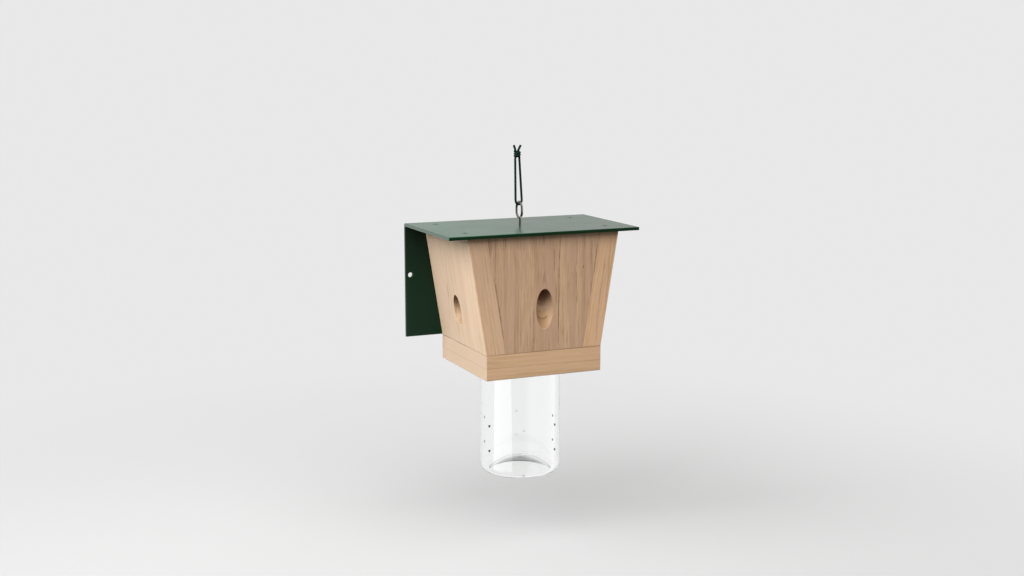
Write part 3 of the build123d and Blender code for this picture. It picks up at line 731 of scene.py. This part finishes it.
def braided_tube(path, sideways):
    """A round cord along a path, as rings of points, with the length at each ring.

    Each ring lies square to the path, turned by sideways. The radius swells where two crossing sets of
    strands are both at their middles: 1 - relief + relief * sqrt(|sin(pi a) sin(pi b)|), with a and b the
    counts of strands passed going round one way and the other.
    """
    tangent = np.gradient(path, axis=0)
    tangent /= np.linalg.norm(tangent, axis=1, keepdims=True)
    side = sideways - tangent * np.sum(sideways * tangent, axis=1, keepdims=True)
    side /= np.linalg.norm(side, axis=1, keepdims=True)
    up = np.cross(tangent, side)
    length = np.concatenate(([0.0], np.cumsum(np.linalg.norm(np.diff(path, axis=0), axis=1))))
    share = np.arange(AROUND) / AROUND
    first = STRANDS * share + length[:, None] / LAY
    second = STRANDS * share - length[:, None] / LAY
    pillow = np.sqrt(np.abs(np.sin(np.pi * first) * np.sin(np.pi * second)))
    swell = 0.5 * CORD_DIAMETER * (1.0 - RELIEF + RELIEF * pillow)
    angle = 2.0 * np.pi * share
    ring = np.cos(angle)[None, :, None] * side[:, None, :] + np.sin(angle)[None, :, None] * up[:, None, :]
    return path[:, None, :] + swell[:, :, None] * ring, length


def cord_piece(name, tubes, finish):
    """One closed mesh from several tubes: quads between rings, a fan to a middle point at each end, and a UV
    map of the share of a turn and the length in metres."""
    spots, faces, coordinates = [], [], []
    start = 0
    for rings, length in tubes:
        count = len(rings)
        index = start + np.arange(count * AROUND).reshape(count, AROUND)
        after = np.roll(index, -1, axis=1)
        quads = np.stack([index[:-1], after[:-1], after[1:], index[1:]], axis=-1).reshape(-1, 4)
        head, tail = start + count * AROUND, start + count * AROUND + 1
        caps = [
            np.stack([after[0], index[0], np.full(AROUND, head)], axis=-1),
            np.stack([index[-1], after[-1], np.full(AROUND, tail)], axis=-1),
        ]
        spots += [rings.reshape(-1, 3), rings[0].mean(axis=0)[None], rings[-1].mean(axis=0)[None]]
        faces += quads.tolist() + caps[0].tolist() + caps[1].tolist()
        turn = np.arange(AROUND + 1) / AROUND
        low = np.meshgrid(length[:-1], turn[:-1], indexing="ij")
        high = np.meshgrid(length[1:], turn[1:], indexing="ij")
        corners = [(low[1], low[0]), (high[1], low[0]), (high[1], high[0]), (low[1], high[0])]
        coordinates.append(np.stack([np.stack(c, axis=-1) for c in corners], axis=2).reshape(-1, 2))
        fan = np.stack([turn[1:], turn[:-1], turn[:-1]], axis=-1).reshape(-1)
        for end in (length[0], length[-1]):
            coordinates.append(np.stack([fan, np.full(len(fan), end)], axis=-1))
        start += count * AROUND + 2
    mesh = bpy.data.meshes.new(name)
    mesh.from_pydata(np.concatenate(spots).tolist(), [], faces)
    mesh.uv_layers.new(name="braid").data.foreach_set("uv", np.concatenate(coordinates).ravel())
    mesh.polygons.foreach_set("use_smooth", np.ones(len(mesh.polygons), bool))
    mesh.materials.append(finish)
    piece = bpy.data.objects.new(name, mesh)
    bpy.context.scene.collection.objects.link(piece)
    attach(piece, "trap_body")
    return piece


DARK_BRAID = (0.007, 0.017, 0.0145, 1.0)
PALE_BRAID = (0.009, 0.022, 0.0185, 1.0)
cord_finish, tree, shader, point = new_finish("green_braid")
woven = add(tree, "SeparateXYZ", {0: add(tree, "UVMap", uv_map="braid").outputs["UV"]}).outputs
counts = [total(tree, [(woven["X"], STRANDS), (woven["Y"], way / LAY)]) for way in (1.0, -1.0)]
waves = [calc(tree, "ABSOLUTE", calc(tree, "SINE", product(tree, count, math.pi))) for count in counts]
pillow = calc(tree, "SQRT", product(tree, *waves))
thread = speckle(tree, point, (0.00012, 0.00012, 0.0009))
tone = total(tree, [(pillow, 0.7), (thread, 0.4)])
tree.links.new(tint(tree, tone, DARK_BRAID, PALE_BRAID), shader.inputs["Base Color"])
shader.inputs["Roughness"].default_value = 0.75
shader.inputs["Specular IOR Level"].default_value = 0.0
lay_bump(tree, shader, thread, depth=0.00001)

RING_STEP = 0.00025
ACROSS_ROUTE = np.array([0.0, 1.0, 0.0])
cord_path = smooth_route(CORD_ROUTE, RING_STEP)
cord_tube = braided_tube(cord_path, np.tile(ACROSS_ROUTE, (len(cord_path), 1)))
cord = cord_piece("braided_cord", [cord_tube], cord_finish)
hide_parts("hanging_cord")


# Knot: the cord's two ends are tied in a barrel knot. One strand runs up the middle, the other winds round
# it, and both tails stand out above.
knot_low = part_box("cord_knot")[0]
KNOT_AXIS = np.array([-0.00215, CORD_Y, knot_low.z])
WRAP_RADIUS = 0.0025
WRAP_TURNS = 2.5
WRAP_RISE = 0.0022
WRAP_START = 0.0020
STEPS_A_TURN = 12
TAIL_LEAN = math.radians(28.0)
TAIL_ROOT = 0.0064
TAIL_REACH = 0.0078
OTHER_SIDE = (-1.0, 1.0, 1.0)
tail_end = np.array([
    math.sin(TAIL_LEAN) * TAIL_REACH, 0.0, TAIL_ROOT + math.cos(TAIL_LEAN) * TAIL_REACH
])
turning = np.linspace(0.0, 2.0 * np.pi * WRAP_TURNS, round(STEPS_A_TURN * WRAP_TURNS) + 1)
helix = np.stack([
    WRAP_RADIUS * np.cos(turning),
    WRAP_RADIUS * np.sin(turning),
    WRAP_START + WRAP_RISE * turning / (2.0 * np.pi),
], axis=1)
# The control points are taken from the foot of the knot on its axis.
entry_right = np.array([CORD_ROUTE[-1][0] - KNOT_AXIS[0], 0.0, CORD_ROUTE[-1][2] - knot_low.z])
entry_left = entry_right * OTHER_SIDE
wrap_points = np.concatenate([
    [entry_right],
    helix,
    [(-0.0020, 0.0, 0.0088), (-0.0027, 0.0, 0.0108), tail_end * OTHER_SIDE],
])
core_points = np.array([
    entry_left, (-0.0014, 0.0, 0.0025), (0.0, 0.0, 0.0046), (0.0004, 0.0, 0.0074), tail_end
])
wrap_path = smooth_route(wrap_points + KNOT_AXIS, RING_STEP)
core_path = smooth_route(core_points + KNOT_AXIS, RING_STEP)
knot = cord_piece("barrel_knot", [
    braided_tube(wrap_path, (wrap_path - KNOT_AXIS) * (1.0, 1.0, 0.0)),
    braided_tube(core_path, np.tile(ACROSS_ROUTE, (len(core_path), 1))),
], cord_finish)
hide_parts("cord_knot")


# Floor: a wide pale floor under the hanging trap, low enough for the jar to be drawn down clear of its
# socket. Away from the trap it passes into one plain tone. Seen through the jar it is brighter, and murky
# through many surfaces of plastic.
PLAIN_TONE = 0.812
FLOOR_TONE = 0.40
THROUGH_JAR = 0.90
BOUNCE = 0.2
MURKY = (5.5, 8.0)  # plastic surfaces on a line of sight, from clear to murky
MURKY_TONE = 0.28
JAR_TRAVEL = frame["joints"][0]["range_m"][1]
FLOOR_GAP = 0.004
FLOOR_LEVEL = -JAR_TRAVEL - FLOOR_GAP
FLOOR_REACH = 12.0
FLOOR_FADES = (0.2, 0.9)
floor_mesh = bpy.data.meshes.new("floor")
floor_corners = [
    (x * FLOOR_REACH, y * FLOOR_REACH, FLOOR_LEVEL) for x, y in ((-1, -1), (1, -1), (1, 1), (-1, 1))
]
floor_mesh.from_pydata(floor_corners, [], [(0, 1, 2, 3)])
floor = bpy.data.objects.new("floor", floor_mesh)
bpy.context.scene.collection.objects.link(floor)
floor.visible_glossy = False
floor_finish, tree, shader, point = new_finish("pale_floor")
shader.inputs["Base Color"].default_value = grey(FLOOR_TONE)
shader.inputs["Roughness"].default_value = 0.9
shader.inputs["Specular IOR Level"].default_value = 0.0
light_path = add(tree, "LightPath").outputs
away = vector_calc(tree, "LENGTH", point, output="Value")
murk = ease(tree, light_path["Transmission Depth"], *MURKY, low=1.0, high=MURKY_TONE)
glow = add(tree, "Emission", {"Color": grey(PLAIN_TONE)}).outputs[0]
bright = add(tree, "Emission", {"Color": grey(THROUGH_JAR), "Strength": murk}).outputs[0]
bounce = add(tree, "Emission", {"Color": grey(BOUNCE)}).outputs[0]
nothing = add(tree, "BsdfTransparent").outputs[0]
surface = shader.outputs["BSDF"]
for share, other in (
    # where or for which rays, and what is seen there in place of the floor
    (ease(tree, away, *FLOOR_FADES), glow),
    (light_path["Is Transmission Ray"], bright),
    (light_path["Is Diffuse Ray"], bounce),
    (add(tree, "NewGeometry").outputs["Backfacing"], nothing),
):
    surface = add(tree, "MixShader", {0: share, 1: surface, 2: other}).outputs[0]
tree.links.new(surface, tree.nodes["Material Output"].inputs["Surface"])
floor_mesh.materials.append(floor_finish)


# Light: a large soft box on the left, a weak one at the front, one overhead, and lower ones on the right and
# behind. A small low strip on the left, close to the jar, only shows as the shine on it.
MIDDLE = Vector((0.0, 0.0, 0.16))
LAMPS = (
    # name, azimuth towards the left, elevation, distance, width, height, power, only shows as shine
    ("left_soft_box", 74.0, 38.0, 1.4, 1.4, 1.4, 39.5, False),
    ("left_strip", 73.0, -26.6, 0.391, 0.344, 0.168, 0.539, True),
    ("front_soft_box", 38.0, 28.0, 1.8, 1.2, 1.2, 2.3, False),
    ("top_soft_box", 0.0, 60.0, 1.5, 1.2, 1.2, 18.0, False),
    ("right_soft_box", -106.0, 12.0, 1.4, 1.4, 1.4, 25.0, False),
    ("back_soft_box", 180.0, 12.0, 1.6, 1.4, 1.4, 24.0, False),
)


def outward_way(azimuth, elevation):
    """The direction from the trap that is azimuth degrees from straight ahead towards the left, and raised
    by elevation degrees."""
    turn, lift = math.radians(azimuth), math.radians(elevation)
    return Vector((-math.sin(turn) * math.cos(lift), -math.cos(turn) * math.cos(lift), math.sin(lift)))


for name, azimuth, elevation, distance, width, height, power, shine in LAMPS:
    lamp = bpy.data.lights.new(name, "AREA")
    lamp.shape = "RECTANGLE"
    lamp.size, lamp.size_y, lamp.energy = width, height, power
    box = bpy.data.objects.new(name, lamp)
    away = outward_way(azimuth, elevation)
    box.location = MIDDLE + away * distance
    box.rotation_euler = away.to_track_quat("Z", "Y").to_euler()
    box.visible_camera, box.visible_transmission = False, False
    box.visible_diffuse, box.visible_glossy = not shine, shine
    bpy.context.scene.collection.objects.link(box)


# Room: a weak even light on all sides. Shiny faces mirror it as dark ahead and pale behind, with a reflector
# board ahead on the right. Through many surfaces of plastic it is murky, and dark high up.
# The ranges are of the parts of the direction looked in, as a unit vector, or of the count of surfaces.
AMBIENT = 0.08
DARK_AHEAD = 0.06
AHEAD_TO_BEHIND = (-0.7, 0.1)
REFLECTOR = 1.2
REFLECTOR_SIDE = (-0.15, 0.1)
REFLECTOR_FRONT = (0.3, -0.1)
HIGH_UP = (0.33, 0.50)
HIGH_UP_SURFACES = (4.3, 5.7)
HIGH_UP_TONE = 0.10
world = bpy.data.worlds.new("studio")
bpy.context.scene.world = world
world.use_nodes = True
tree = world.node_tree
light_path = add(tree, "LightPath").outputs
toward = add(tree, "SeparateXYZ", {0: add(tree, "TexCoord").outputs["Generated"]}).outputs
sky = tint(tree, light_path["Is Camera Ray"], grey(AMBIENT), grey(PLAIN_TONE))
mirrored = ease(tree, toward["Y"], *AHEAD_TO_BEHIND, DARK_AHEAD, PLAIN_TONE)
reflector = product(
    tree, ease(tree, toward["X"], *REFLECTOR_SIDE), ease(tree, toward["Y"], *REFLECTOR_FRONT)
)
mirrored = total(tree, [(reflector, REFLECTOR), (mirrored, 1.0)])
sky = tint(tree, light_path["Is Glossy Ray"], sky, mirrored)
surfaces = light_path["Transmission Depth"]
upward = product(tree, ease(tree, toward["Z"], *HIGH_UP), ease(tree, surfaces, *HIGH_UP_SURFACES))
refracted = ease(tree, upward, 0.0, 1.0, THROUGH_JAR, HIGH_UP_TONE)
murk = ease(tree, surfaces, *MURKY, low=1.0, high=MURKY_TONE)
sky = tint(tree, light_path["Is Transmission Ray"], sky, product(tree, refracted, murk))
tree.links.new(sky, tree.nodes["Background"].inputs["Color"])


# Camera: a little above the roof and to the left of the front, at the distance that gives the roof its
# perspective. It looks slightly down at the middle of the walls.
SIGHT = Vector((-0.0061, 0.0055, 0.1829))
CAMERA_AZIMUTH = 23.81
CAMERA_ELEVATION = 9.55
CAMERA_DISTANCE = 1.35
FOCAL_PIXELS = 1375.17
IMAGE_WIDTH = 1024
SENSOR = 36.0
lens = bpy.data.cameras.new("camera")
lens.sensor_width = SENSOR
lens.lens = FOCAL_PIXELS * SENSOR / IMAGE_WIDTH
camera = bpy.data.objects.new("camera", lens)
back = outward_way(CAMERA_AZIMUTH, CAMERA_ELEVATION)
camera.location = SIGHT + back * CAMERA_DISTANCE
camera.rotation_euler = back.to_track_quat("Z", "Y").to_euler()
bpy.context.scene.collection.objects.link(camera)
bpy.context.scene.camera = camera
bpy.context.scene.view_settings.view_transform = "Standard"
